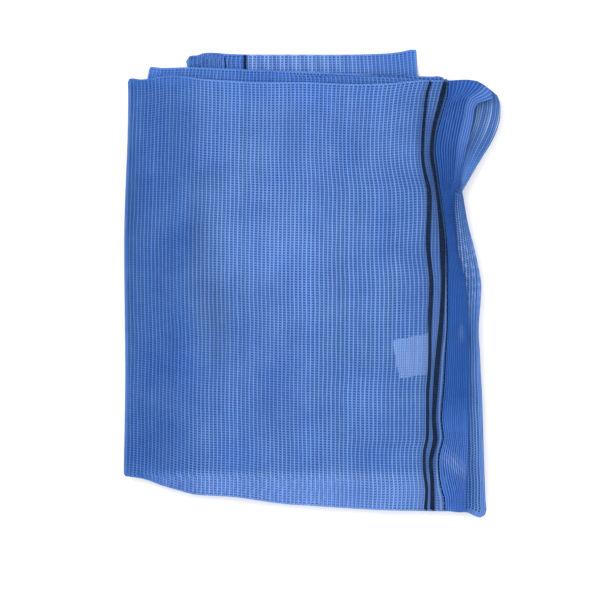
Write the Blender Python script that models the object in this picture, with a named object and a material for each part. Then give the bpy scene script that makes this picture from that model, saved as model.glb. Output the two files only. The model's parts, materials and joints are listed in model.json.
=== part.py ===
"""Knitted mesh hay net, lying folded in three on a flat surface.

The net is a flat tube of ribbed mesh with two walls (plies), closed at one end
and with a hemmed mouth and a drawcord at the other. From the surface up lie
the back fold (the closed end), the middle fold and the front fold, which has
the mouth hem at its +X side. Fold and hem names count "front" as up (+Z).

Frame: metres, +X towards the mouth hem, +Y along the knitted ribs, +Z up from
the surface. The origin is the centre of the bundle's bottom face.
All sizes and tables below are in millimetres.
"""

import math

import bmesh
import bpy
from mathutils import Vector

MM = 0.001


# ------------------------------------------------------------- layer heights
def layer(bottom, thickness):
    """The bottom and top height of a sheet."""
    return bottom, bottom + thickness


PLY_THICKNESS = 1.0
PLY_PITCH = 2.4  # from one ply of a fold to the next
TRIM_GAP = 0.3  # from a ply up to the bands that lie over it
HEM_THICKNESS = 0.6

BACK_LOWER = layer(0.0, PLY_THICKNESS)
BACK_UPPER = layer(BACK_LOWER[0] + PLY_PITCH, PLY_THICKNESS)
BACK_TRIM = layer(BACK_UPPER[1] + TRIM_GAP, 0.3)
MIDDLE_LOWER = layer(4.4, PLY_THICKNESS)
MIDDLE_UPPER = layer(MIDDLE_LOWER[0] + PLY_PITCH, PLY_THICKNESS)
FRONT_INNER = layer(8.6, PLY_THICKNESS)
LABEL = layer(10.0, 0.3)
FRONT_OUTER = layer(FRONT_INNER[0] + PLY_PITCH, PLY_THICKNESS)
STRIPES = layer(FRONT_OUTER[1] + TRIM_GAP, 0.4)
HEM_THREAD = layer(STRIPES[0], 0.6)
HEM_BACK = layer(FRONT_INNER[0], HEM_THICKNESS)
HEM_FRONT = layer(STRIPES[1], HEM_THICKNESS)

# Axes that the folds and the hem hang from, as (x, z). Each runs along Y.
RIGHT_FOLD_AXIS = (108.8, 4.25)
LEFT_FOLD_AXIS = (-151.1, 7.95)
HEM_AXIS = (109.6, 14.0)

# The front fold ends just short of the hem axis and the hem starts just past it.
PANEL_EDGE_X = 109.2
HEM_EDGE_X = 110.1

# ------------------------------------------------------------------ outlines
# Each outline is a list of edges, and each edge a list of (x, y) points that
# a smooth curve runs through. Edges meet in corners; any gap between them, at
# PANEL_EDGE_X or HEM_EDGE_X, is closed by a straight line.
SAMPLE_STEP = 6.0  # longest distance between curve samples, along the chord
SAME_POINT = 0.05  # outline points closer than this are merged

BACK_OUTLINE = [
    # -X edge
    [(-100, -153), (-101, -100), (-99, 0), (-101, 100), (-100, 174), (-101.4, 178)],
    # +Y edge
    [(-101.4, 178), (-98.6, 182.2), (-92, 182.8), (-87, 184.6), (-79, 185), (-69, 184.2),
     (-54, 183.7), (-10, 183.6), (40, 183.7), (65, 184.9), (73.5, 186.2), (79, 187.5),
     (84, 187.5)],
    # +X edge
    [(84, 187.5), (85.6, 167), (87, 100), (88, 0), (87, -100), (86, -154)],
    # -Y edge
    [(86, -154), (0, -155), (-60, -155.5), (-100, -153)],
]

MIDDLE_OUTLINE = [
    # -X edge
    [(-148.4, -149), (-148.6, -120), (-148, -40), (-146.5, 40), (-141, 100), (-134, 150),
     (-131.4, 170)],
    # +Y edge
    [(-131.4, 170), (-130.6, 172.8), (-128.6, 173.7), (-121, 172.7), (-100, 173.2),
     (-55, 171.5), (-10, 170), (86, 166), (101, 166), (104, 167)],
    # +X edge
    [(104, 167), (106.6, 164), (107, 150), (106, 80), (106.6, 0), (107, -80), (106, -156)],
    # -Y edge
    [(106, -156), (22, -156.8), (-47, -157.2), (-84, -158), (-114, -155.6), (-134, -151.6),
     (-148.4, -149)],
]

FRONT_OUTLINE = [
    # -X edge
    [(-150.9, -154), (-150.6, -140), (-149.6, -77), (-150.4, 43), (-149.2, 80),
     (-147.7, 121), (-147.2, 150), (-147.7, 163)],
    # +Y edge
    [(-147.7, 163), (-144, 164.4), (-139, 163.4), (-132, 163.6), (-114, 166.6),
     (-86, 163.6), (-42, 161), (-10, 161.2), (35, 159.6), (62, 160.2), (85, 162.6),
     (PANEL_EDGE_X, 162.6)],
    # -Y edge
    [(PANEL_EDGE_X, -182.2), (89, -182), (54, -181.2), (2, -178), (-22, -176.4),
     (-63, -170.8), (-94, -168.8), (-106, -165.6), (-121, -161.2), (-134, -156.4),
     (-150.9, -154)],
]

HEM_FRONT_OUTLINE = [
    # +Y edge
    [(HEM_EDGE_X, 162.4), (125, 163), (132, 162.2)],
    # slope down to the outermost corner
    [(132, 162.2), (140, 158.5), (149.2, 151.2)],
    # return from that corner to the narrow band
    [(149.2, 151.2), (144.4, 147.4), (137.3, 145.2), (132.4, 143.6), (130, 139),
     (128.8, 129), (126.4, 118), (123.7, 107.6), (121.4, 96), (119.2, 86), (118.4, 78.8)],
    # +X edge of the band
    [(118.4, 78.8), (114.4, 72), (113.4, 66), (114.2, 50), (116, 34.8), (118.4, 18.8),
     (122.7, 2.8), (125, -20), (126, -60), (125.4, -110), (124, -150), (123.4, -182)],
]
HEM_FRONT_LAST_CORNER = (HEM_EDGE_X, -182.0)

HEM_BACK_OUTLINE = [
    # +Y edge
    [(HEM_EDGE_X, 161.6), (124, 162.2), (131, 161.2), (139.5, 157.4), (147.8, 151)],
    # +X edge, in to the waist
    [(147.8, 151), (150.6, 145), (151, 138), (150.2, 129), (145.3, 115.6), (134.1, 97.2),
     (119.6, 72.4)],
    # +X edge, flaring out again
    [(119.6, 72.4), (120.8, 68.4), (124.8, 47.6), (130.4, 26.8), (135.6, 0), (135.2, -13),
     (133.6, -37), (134.8, -60), (136.6, -96), (137.6, -131), (139.2, -174),
     (139.9, -181)],
    # -Y edge
    [(139.9, -181), (138.8, -185.4), (135.4, -187.4), (129.6, -185.7), (124.8, -183.2),
     (117.6, -183.1), (HEM_EDGE_X, -182.2)],
]

# How far the second ply of each fold is drawn in, as (x, y) on each side.
BACK_INSET = (0.6, 0.3)
MIDDLE_INSET = (0.6, 0.6)
FRONT_INSET = (0.5, 0.8)

# Straight-sided pieces, as (x, y) corners.
BOTTOM_HEM_CORNERS = [
    (-99.2, -152), (-71.6, -153.5), (-71.6, 182.6), (-86, 183), (-92, 181.6), (-99.2, 178),
]
LABEL_CORNERS = [(64.3, -45.6), (93.1, -39.9), (92.6, -72.1), (70.1, -76)]

# ------------------------------------------------- bands that run with the ribs
# Centre lines, as (x, y) points of a smooth curve.
BOTTOM_STRIPE_LINE = [(-53.6, -154.4), (-53, -60), (-54, 60), (-53.6, 183)]
BOTTOM_THREAD_LINE = [
    (-69, -154.4), (-69.6, -40), (-68.6, 80), (-68.4, 168), (-69.2, 176), (-70.4, 183.4),
]
NARROW_STRIPE_LINE = [
    (90.7, -181.6), (91.7, -165), (89.8, -149), (90, -133), (91.9, -125), (92.4, -109),
    (92.6, -85), (93.9, -69), (94.4, -29), (95.4, 3), (93, 27), (93.1, 43), (93.8, 59),
    (93.6, 75), (90.8, 86), (88.5, 99), (88.6, 113), (90.4, 139), (92.3, 153),
    (95.2, 161.8),
]
HEM_THREAD_LINE = [
    (106.2, -181.6), (105.9, -171.6), (103.9, -165), (102.2, -157), (101.4, -141),
    (102.8, -133), (105.2, -124), (103.6, -109), (105.4, -85), (107.2, -53), (108.4, -29),
    (108.5, -13), (108.4, 3), (108.2, 19), (107.8, 35), (104.6, 59), (102.4, 75),
    (100.2, 91), (98.6, 102), (100.4, 124), (105.4, 143.6), (108, 154), (108.5, 161.8),
]
# The wide stripe varies in width: (x, y, width).
WIDE_STRIPE_LINE = [
    (96.2, -181.6, 4.0), (96.5, -173, 3.7), (96.1, -157, 3.2), (95.1, -141, 3.2),
    (98.6, -125, 4.0), (97.6, -109, 3.2), (98.8, -85, 4.2), (101.2, -53, 4.3),
    (103.5, -29, 3.7), (105.1, 3, 3.4), (104.6, 19, 4.2), (104.2, 35, 4.8),
    (101.9, 59, 2.6), (100, 75, 2.2), (97.6, 91, 2.8), (95.9, 102, 3.0),
    (97.6, 124.4, 3.2), (102.4, 143.6, 3.6), (104.8, 153, 4.0), (106.9, 161.8, 2.8),
]

BOTTOM_STRIPE_WIDTH = 2.4
BOTTOM_THREAD_WIDTH = 0.9
NARROW_STRIPE_WIDTH = 2.6
HEM_THREAD_WIDTH = 1.0
THREAD_GAP = 0.35  # least gap between the hem thread and the wide stripe
STRIPE_REACH = 4.0  # the thread also clears stripe parts this far off along Y

# ------------------------------------------------------------------ drawcord
CORD_X = 112.0
CORD_HEIGHT = (HEM_BACK[1] + HEM_FRONT[0]) / 2  # midway between the hem walls
CORD_START_Y = -177.0
CORD_END_Y = 150.0
CORD_RADIUS = 1.1
CORD_KNOT_RADIUS = 1.45
# Stop knot at each end: (distance from the cord's end, radius).
CORD_KNOT = [
    (0.0, 0.6), (0.8, 1.3), (2.2, CORD_KNOT_RADIUS), (3.6, CORD_KNOT_RADIUS),
    (5.0, 1.25), (6.0, CORD_RADIUS),
]
CORD_SPANS = 10  # between the knots
CORD_SIDES = 12
CORD_SHARP_ANGLE = math.radians(50)

# -------------------------------------------------------------------- colours
# Linear RGB.
BLUE = (0.075, 0.205, 0.62)
DEEP_BLUE = (0.030, 0.110, 0.42)
BLACK = (0.008, 0.012, 0.030)
LABEL_COLOUR = (0.72, 0.78, 0.86)
CORD_COLOUR = (0.05, 0.16, 0.52)


def make_material(name, colour, roughness):
    material = bpy.data.materials.new(name)
    material.use_nodes = True
    shader = material.node_tree.nodes["Principled BSDF"]
    shader.inputs["Base Color"].default_value = (*colour, 1.0)
    shader.inputs["Roughness"].default_value = roughness
    shader.inputs["Metallic"].default_value = 0.0
    material.diffuse_color = (*colour, 1.0)
    return material


# -------------------------------------------------------------------- curves
def smooth(points):
    """A centripetal Catmull-Rom curve through points of any dimension."""
    knots = [Vector(point) for point in points]
    before = knots[0] + (knots[0] - knots[1])
    after = knots[-1] + (knots[-1] - knots[-2])
    padded = [before] + knots + [after]
    curve = []
    for p0, p1, p2, p3 in zip(padded, padded[1:], padded[2:], padded[3:]):
        t0 = 0.0
        t1 = t0 + math.sqrt((p1 - p0).length)
        t2 = t1 + math.sqrt((p2 - p1).length)
        t3 = t2 + math.sqrt((p3 - p2).length)
        count = max(1, math.ceil((p2 - p1).length / SAMPLE_STEP))
        for k in range(count):
            t = t1 + (t2 - t1) * k / count
            a1 = p0 * ((t1 - t) / (t1 - t0)) + p1 * ((t - t0) / (t1 - t0))
            a2 = p1 * ((t2 - t) / (t2 - t1)) + p2 * ((t - t1) / (t2 - t1))
            a3 = p2 * ((t3 - t) / (t3 - t2)) + p3 * ((t - t2) / (t3 - t2))
            b1 = a1 * ((t2 - t) / (t2 - t0)) + a2 * ((t - t0) / (t2 - t0))
            b2 = a2 * ((t3 - t) / (t3 - t1)) + a3 * ((t - t1) / (t3 - t1))
            curve.append(b1 * ((t2 - t) / (t2 - t1)) + b2 * ((t - t1) / (t2 - t1)))
    curve.append(knots[-1])
    return curve


def smooth_outline(edges):
    """Smooths each edge and joins them into one closed outline, without repeats."""
    outline = []
    for edge in edges:
        for point in smooth(edge):
            if not outline or (point - outline[-1]).length > SAME_POINT:
                outline.append(point)
    if (outline[0] - outline[-1]).length <= SAME_POINT:
        outline.pop()
    return outline


def inset(outline, margins):
    """The outline scaled about its middle, so its extremes draw in by the margins."""
    centres, scales = [], []
    for axis, margin in enumerate(margins):
        low = min(point[axis] for point in outline)
        high = max(point[axis] for point in outline)
        centres.append((low + high) / 2)
        scales.append(1 - 2 * margin / (high - low))
    return [
        Vector([c + (value - c) * s for value, c, s in zip(point, centres, scales)])
        for point in outline
    ]


def clear_of_stripe(point, stripe):
    """The thread point, moved towards +X where the stripe's edge is too close."""
    clearance = HEM_THREAD_WIDTH / 2 + THREAD_GAP
    x = point.x
    for a, b in zip(stripe, stripe[1:]):
        if min(a.y, b.y) - STRIPE_REACH <= point.y <= max(a.y, b.y) + STRIPE_REACH:
            x = max(x, a.x + a.z / 2 + clearance, b.x + b.z / 2 + clearance)
    return Vector((min(x, PANEL_EDGE_X - HEM_THREAD_WIDTH / 2), point.y))


# ------------------------------------------------------------------- objects
def add_axis(name, axis):
    """An empty on a fold axis: the pieces of that fold hang from it."""
    x, z = axis
    obj = bpy.data.objects.new(name, None)
    obj.location = (x * MM, 0, z * MM)
    bpy.context.scene.collection.objects.link(obj)
    return obj


def add_object(name, bm, material, parent):
    """Turns the bmesh into an object whose vertices stay in world place."""
    mesh = bpy.data.meshes.new(name)
    bm.to_mesh(mesh)
    bm.free()
    mesh.materials.append(material)
    obj = bpy.data.objects.new(name, mesh)
    bpy.context.scene.collection.objects.link(obj)
    if parent is not None:
        obj.parent = parent
        obj.location = -parent.location
    return obj


def slab(name, outline, heights, material, parent=None):
    """A flat sheet with the given outline, extruded up between two heights."""
    bottom, top = heights
    bm = bmesh.new()
    face = bm.faces.new([bm.verts.new((p[0] * MM, p[1] * MM, bottom * MM)) for p in outline])
    grown = bmesh.ops.extrude_face_region(bm, geom=[face])
    moved = [v for v in grown["geom"] if isinstance(v, bmesh.types.BMVert)]
    bmesh.ops.translate(bm, verts=moved, vec=(0, 0, (top - bottom) * MM))
    bmesh.ops.recalc_face_normals(bm, faces=bm.faces)
    bmesh.ops.triangulate(bm, faces=bm.faces)
    add_object(name, bm, material, parent)


def ribbon(name, centre, widths, heights, material, parent=None):
    """A narrow band along a centre line, with a width at each point."""
    left, right = [], []
    for i, point in enumerate(centre):
        ahead = centre[min(i + 1, len(centre) - 1)]
        behind = centre[max(i - 1, 0)]
        run = Vector((ahead.x - behind.x, ahead.y - behind.y))
        run.normalize()
        side = Vector((run.y, -run.x)) * widths[i] / 2
        right.append(point.xy + side)
        left.append(point.xy - side)
    slab(name, right + left[::-1], heights, material, parent)


def even_ribbon(name, centre, width, heights, material, parent=None):
    """A ribbon of one width."""
    ribbon(name, centre, [width] * len(centre), heights, material, parent)


# -------------------------------------------------------------------- pieces
def build_back_fold(blue, deep_blue, black):
    """The closed end of the net, lowest in the bundle."""
    outline = smooth_outline(BACK_OUTLINE)
    slab("back_fold_lower_ply", outline, BACK_LOWER, blue)
    slab("back_fold_upper_ply", inset(outline, BACK_INSET), BACK_UPPER, blue)
    slab("bottom_hem_band", BOTTOM_HEM_CORNERS, BACK_TRIM, deep_blue)
    even_ribbon("bottom_seam_thread", smooth(BOTTOM_THREAD_LINE), BOTTOM_THREAD_WIDTH,
                BACK_TRIM, black)
    even_ribbon("bottom_black_stripe", smooth(BOTTOM_STRIPE_LINE), BOTTOM_STRIPE_WIDTH,
                BACK_TRIM, black)


def build_middle_fold(blue, axis):
    """The fold turned over the back fold at the +X side."""
    outline = smooth_outline(MIDDLE_OUTLINE)
    slab("middle_fold_lower_ply", outline, MIDDLE_LOWER, blue, axis)
    slab("middle_fold_upper_ply", inset(outline, MIDDLE_INSET), MIDDLE_UPPER, blue, axis)


def build_front_fold(blue, black, label, axis):
    """The fold turned over the middle fold at the -X side, with its stripes,
    the stitch line of the mouth hem, and a label between its plies."""
    outline = smooth_outline(FRONT_OUTLINE)
    slab("front_fold_inner_ply", inset(outline, FRONT_INSET), FRONT_INNER, blue, axis)
    slab("front_fold_outer_ply", outline, FRONT_OUTER, blue, axis)
    even_ribbon("narrow_black_stripe", smooth(NARROW_STRIPE_LINE), NARROW_STRIPE_WIDTH,
                STRIPES, black, axis)
    stripe = smooth(WIDE_STRIPE_LINE)
    ribbon("wide_black_stripe", stripe, [p.z for p in stripe], STRIPES, black, axis)
    thread = [clear_of_stripe(point, stripe) for point in smooth(HEM_THREAD_LINE)]
    even_ribbon("hem_seam_thread", thread, HEM_THREAD_WIDTH, HEM_THREAD, black, axis)
    slab("care_label", LABEL_CORNERS, LABEL, label, axis)


def build_mouth_hem(blue, deep_blue, axis):
    """The upper (front) and lower (back) walls of the mouth hem."""
    front = smooth_outline(HEM_FRONT_OUTLINE) + [Vector(HEM_FRONT_LAST_CORNER)]
    slab("mouth_hem_front_band", front, HEM_FRONT, deep_blue, axis)
    slab("mouth_hem_back_band", smooth_outline(HEM_BACK_OUTLINE), HEM_BACK, blue, axis)


def build_drawcord(material, axis):
    """The drawcord's strand between the hem walls, with a stop knot at each end."""
    knot_length = CORD_KNOT[-1][0]
    plain_length = CORD_END_Y - CORD_START_Y - 2 * knot_length
    stations = [(CORD_START_Y + distance, radius) for distance, radius in CORD_KNOT]
    for i in range(1, CORD_SPANS):
        y = CORD_START_Y + knot_length + plain_length * i / CORD_SPANS
        stations.append((y, CORD_RADIUS))
    stations += [(CORD_END_Y - distance, radius) for distance, radius in reversed(CORD_KNOT)]

    bm = bmesh.new()
    rings = []
    for y, radius in stations:
        ring = []
        for k in range(CORD_SIDES):
            angle = 2 * math.pi * k / CORD_SIDES
            x = CORD_X + radius * math.cos(angle)
            z = CORD_HEIGHT + radius * math.sin(angle)
            ring.append(bm.verts.new((x * MM, y * MM, z * MM)))
        rings.append(ring)
    for a, b in zip(rings, rings[1:]):
        for k in range(CORD_SIDES):
            following = (k + 1) % CORD_SIDES
            bm.faces.new((a[k], a[following], b[following], b[k]))
    bm.faces.new(rings[0])
    bm.faces.new(rings[-1])
    bmesh.ops.recalc_face_normals(bm, faces=bm.faces)
    mesh = add_object("drawcord", bm, material, axis).data
    mesh.shade_smooth()
    mesh.set_sharp_from_angle(angle=CORD_SHARP_ANGLE)


def build():
    for obj in list(bpy.data.objects):
        bpy.data.objects.remove(obj, do_unlink=True)

    blue = make_material("blue_mesh", BLUE, roughness=0.62)
    deep_blue = make_material("hem_mesh", DEEP_BLUE, roughness=0.6)
    black = make_material("black_yarn", BLACK, roughness=0.7)
    label = make_material("label_tape", LABEL_COLOUR, roughness=0.55)
    rope = make_material("cord", CORD_COLOUR, roughness=0.65)

    middle_axis = add_axis("middle_fold_axis", RIGHT_FOLD_AXIS)
    front_axis = add_axis("front_fold_axis", LEFT_FOLD_AXIS)
    hem_axis = add_axis("mouth_hem_axis", HEM_AXIS)

    build_back_fold(blue, deep_blue, black)
    build_middle_fold(blue, middle_axis)
    build_front_fold(blue, black, label, front_axis)
    build_mouth_hem(blue, deep_blue, hem_axis)
    build_drawcord(rope, hem_axis)


build()
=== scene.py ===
"""The looks of a folded mesh hay net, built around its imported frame.

The net lies flat on the floor in three folds: the back fold lowest, the middle
fold over it and the front fold on top. Ribs run along y and are counted along x
from the left (-x); rows are counted along y from the bottom (-y). The cloth
turns from back to middle fold on the right (+x) and from middle to front fold
on the left. The mouth hem lies at the right of the front fold, past its seam.

Every ply is an open knit: raised ribs joined by short cross threads, with real
holes between them. Outlines, stripes and seams are read from the frame's solids.
"""

import json
import math

import bpy
import numpy as np
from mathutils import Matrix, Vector


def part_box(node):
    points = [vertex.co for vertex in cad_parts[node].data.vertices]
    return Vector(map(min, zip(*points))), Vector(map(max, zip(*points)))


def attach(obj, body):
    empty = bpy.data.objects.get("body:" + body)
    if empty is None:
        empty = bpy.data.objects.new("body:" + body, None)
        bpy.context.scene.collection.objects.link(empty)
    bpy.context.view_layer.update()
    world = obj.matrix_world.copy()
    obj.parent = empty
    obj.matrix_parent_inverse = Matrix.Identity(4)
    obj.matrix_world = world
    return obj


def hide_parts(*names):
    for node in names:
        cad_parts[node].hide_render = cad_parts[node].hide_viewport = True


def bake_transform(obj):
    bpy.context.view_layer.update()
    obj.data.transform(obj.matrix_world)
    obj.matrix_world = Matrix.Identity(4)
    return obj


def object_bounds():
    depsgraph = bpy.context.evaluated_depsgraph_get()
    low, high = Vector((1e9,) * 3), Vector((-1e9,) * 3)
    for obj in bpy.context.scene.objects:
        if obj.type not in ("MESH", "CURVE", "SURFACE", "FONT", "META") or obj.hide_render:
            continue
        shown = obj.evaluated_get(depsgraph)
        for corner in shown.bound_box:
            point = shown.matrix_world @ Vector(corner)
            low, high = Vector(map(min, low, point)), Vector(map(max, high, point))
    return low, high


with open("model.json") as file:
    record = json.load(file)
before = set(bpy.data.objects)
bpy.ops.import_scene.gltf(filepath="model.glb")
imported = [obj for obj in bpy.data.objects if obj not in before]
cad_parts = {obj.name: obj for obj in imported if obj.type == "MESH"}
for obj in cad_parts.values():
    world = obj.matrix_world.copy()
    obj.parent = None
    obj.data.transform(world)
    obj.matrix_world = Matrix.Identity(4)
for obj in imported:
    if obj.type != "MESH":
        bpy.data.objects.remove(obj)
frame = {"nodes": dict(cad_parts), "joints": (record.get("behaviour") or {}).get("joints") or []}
CAD_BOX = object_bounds()

MM = 0.001
TAU = 2 * math.pi
RIB_PITCH = 3.25 * MM
ROW_PITCH = 2.06 * MM
CORNER_MARGIN = 0.3 * MM  # how far inside its corners a ply's side edge is read

RELIEF_HEIGHT = 0.95 * MM  # the bundle's soft dents, at RELIEF_LEVEL
RELIEF_LEVEL = 11.5 * MM


# ------------------------------------------------------------ frame geometry
def top_loop(node):
    """The outline of a node's top face, in order, as an array of (x, y)."""
    mesh = frame["nodes"][node].data
    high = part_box(node)[1].z
    # Vertices at the same (x, y) share one number.
    points, numbers = {}, []
    for vertex in mesh.vertices:
        key = (round(vertex.co.x * 1e5), round(vertex.co.y * 1e5))
        if key not in points:
            points[key] = (len(points), vertex.co.x, vertex.co.y)
        numbers.append(points[key][0])
    place = {number: (x, y) for number, x, y in points.values()}
    edges = {}
    for poly in mesh.polygons:
        if all(abs(mesh.vertices[i].co.z - high) < 2e-5 for i in poly.vertices):
            ring = [numbers[i] for i in poly.vertices]
            for here, there in zip(ring, ring[1:] + ring[:1]):
                if here != there:
                    edges[here, there] = True
    # An edge walked one way only lies on the rim.
    after = {here: there for here, there in edges if (there, here) not in edges}
    start = min(after)
    ring, current = [start], after[start]
    while current != start and len(ring) <= len(after):
        ring.append(current)
        current = after[current]
    return np.array([place[i] for i in ring])


class Outline:
    """A node's outline, with its sides as left(y), right(y), bottom(x) and top(x)."""

    def __init__(self, node, corners=False):
        self.loop = top_loop(node)
        self.low, self.high = self.loop.min(0), self.loop.max(0)
        self.left, self.right = self.side(1, -1), self.side(1, 1)
        self.bottom, self.top = self.side(0, -1), self.side(0, 1)
        if corners:
            # The side edges of a ply end at its corners.
            x, y = self.loop.T
            self.left = within(self.left, y[np.argmin(x + y)], y[np.argmin(x - y)])
            self.right = within(self.right, y[np.argmax(x - y)], y[np.argmax(x + y)])

    def cross(self, values, axis, side):
        """Where lines at values on the axis meet the outline's low or high side."""
        start = self.loop
        end = np.roll(start, -1, axis=0)
        inset = 1e-5
        values = np.clip(
            np.asarray(values, float), self.low[axis] + inset, self.high[axis] - inset
        )
        flat = values.ravel()[:, None]
        first, last = start[None, :, axis], end[None, :, axis]
        hit = ((first <= flat) & (last > flat)) | ((last <= flat) & (first > flat))
        share = (flat - first) / np.where(np.abs(last - first) < 1e-12, 1, last - first)
        other = start[None, :, 1 - axis] + share * (end - start)[None, :, 1 - axis]
        if side < 0:
            found = np.where(hit, other, np.inf).min(1)
        else:
            found = np.where(hit, other, -np.inf).max(1)
        return found.reshape(values.shape)

    def side(self, axis, side, count=700):
        """One side sampled once and smoothed, as a fast interpolator."""
        grid = np.linspace(self.low[axis], self.high[axis], count)
        kernel = np.array([1, 4, 6, 4, 1]) / 16
        padded = np.pad(self.cross(grid, axis, side), 2, mode="edge")
        soft = np.convolve(padded, kernel, "valid")
        return lambda values: np.interp(values, grid, soft)


def within(curve, low, high):
    """A curve held constant past its ends."""
    return lambda y: curve(np.clip(y, low + CORNER_MARGIN, high - CORNER_MARGIN))


def middle_line(outline):
    return lambda y: (outline.left(y) + outline.right(y)) / 2


def middle_z(node):
    low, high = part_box(node)
    return (low.z + high.z) / 2


def joint_place(name):
    return next(joint for joint in frame["joints"] if joint["name"] == name)["pos_m"]


RIGHT_AXIS = joint_place("unfold_middle")
LEFT_AXIS = joint_place("unfold_front")
HEM_AXIS = joint_place("turn_back_hem")

front = Outline("front_fold_outer_ply", corners=True)
middle = Outline("middle_fold_lower_ply", corners=True)
back = Outline("back_fold_lower_ply", corners=True)
narrow_stripe = Outline("narrow_black_stripe")
wide_stripe = Outline("wide_black_stripe")
bottom_stripe = Outline("bottom_black_stripe")
seam = Outline("hem_seam_thread")
bottom_seam = Outline("bottom_seam_thread")
LABEL_LOOP = top_loop("care_label")

mid_narrow, mid_wide, mid_seam = map(middle_line, (narrow_stripe, wide_stripe, seam))

FRONT_Z = middle_z("front_fold_outer_ply")
FRONT_INNER_Z = middle_z("front_fold_inner_ply")
BACK_UPPER_Z = middle_z("back_fold_upper_ply")


# -------------------------------------------------------------------- fields
def smoothstep(share):
    share = np.clip(share, 0, 1)
    return share * share * (3 - 2 * share)


def ramp(value, start, run):
    """Rises softly from 0 at start to 1 at start + run; run may be negative."""
    return smoothstep((value - start) / run)


def bell(value, centre, reach):
    return np.exp(-(((value - centre) / reach) ** 2))


def hump(x, y, centre_x, centre_y, reach_x, reach_y):
    """A bell over the plane."""
    return np.exp(-(((x - centre_x) / reach_x) ** 2) - (((y - centre_y) / reach_y) ** 2))


def even(value):
    """A field or curve with the same value everywhere."""
    return lambda x, *_: value + 0 * x


def waves(x, y, seed, length, octaves=3):
    """Smooth, seeded undulation of about unit height."""
    rng = np.random.default_rng(seed)
    total = np.zeros(np.broadcast(x, y).shape)
    for k in range(octaves * 3):
        scale = length / (1.55 ** (k // 3))
        angle = rng.uniform(0, TAU)
        phase = rng.uniform(0, TAU)
        amount = 0.42 / (1.35 ** (k // 3))
        way = x * math.cos(angle) + y * math.sin(angle)
        total = total + amount * np.sin(way * TAU / scale + phase)
    return total


def relief(x, y, level):
    """How far the bundle's soft dents lift a layer that lies at height level."""
    near = np.minimum((x - LEFT_AXIS[0]) / 0.030, (RIGHT_AXIS[0] - x) / 0.020)
    field = waves(x, y, 5, 0.085) + 0.5 * waves(x * 2.2, y * 0.4, 6, 0.06)
    return RELIEF_HEIGHT * (level / RELIEF_LEVEL) * field * smoothstep(near * 0.8 + 0.2)


# ------------------------------------------------------------- mesh building
def mesh_object(name, verts, faces, mat, uv=None, tone=None, pale=None):
    """A smooth quad mesh, with a UV map and the shading attributes that are given."""
    mesh = bpy.data.meshes.new(name)
    verts = np.asarray(verts, np.float32)
    faces = np.asarray(faces, np.int32)
    mesh.vertices.add(len(verts))
    mesh.vertices.foreach_set("co", verts.ravel())
    mesh.loops.add(faces.size)
    mesh.loops.foreach_set("vertex_index", faces.ravel())
    mesh.polygons.add(len(faces))
    starts = np.arange(0, faces.size, faces.shape[1], dtype=np.int32)
    mesh.polygons.foreach_set("loop_start", starts)
    mesh.polygons.foreach_set("use_smooth", np.full(len(faces), True))
    if uv is not None:
        layer = mesh.uv_layers.new(name="knit")
        layer.data.foreach_set("uv", np.asarray(uv, np.float32)[faces.ravel()].ravel())
    mesh.update(calc_edges=True)
    mesh.validate()
    for key, values in (("tone", tone), ("pale", pale)):
        if values is not None:
            attribute = mesh.attributes.new(key, "FLOAT", "POINT")
            attribute.data.foreach_set("value", np.asarray(values, np.float32).ravel())
    obj = bpy.data.objects.new(name, mesh)
    bpy.context.scene.collection.objects.link(obj)
    mesh.materials.append(mat)
    return obj


def cap_quads(ring):
    """Quads that fan out from a ring's first vertex and close it."""
    return [
        (ring[0], ring[k], ring[k + 1], ring[k + 2]) for k in range(1, len(ring) - 2, 2)
    ]


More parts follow.
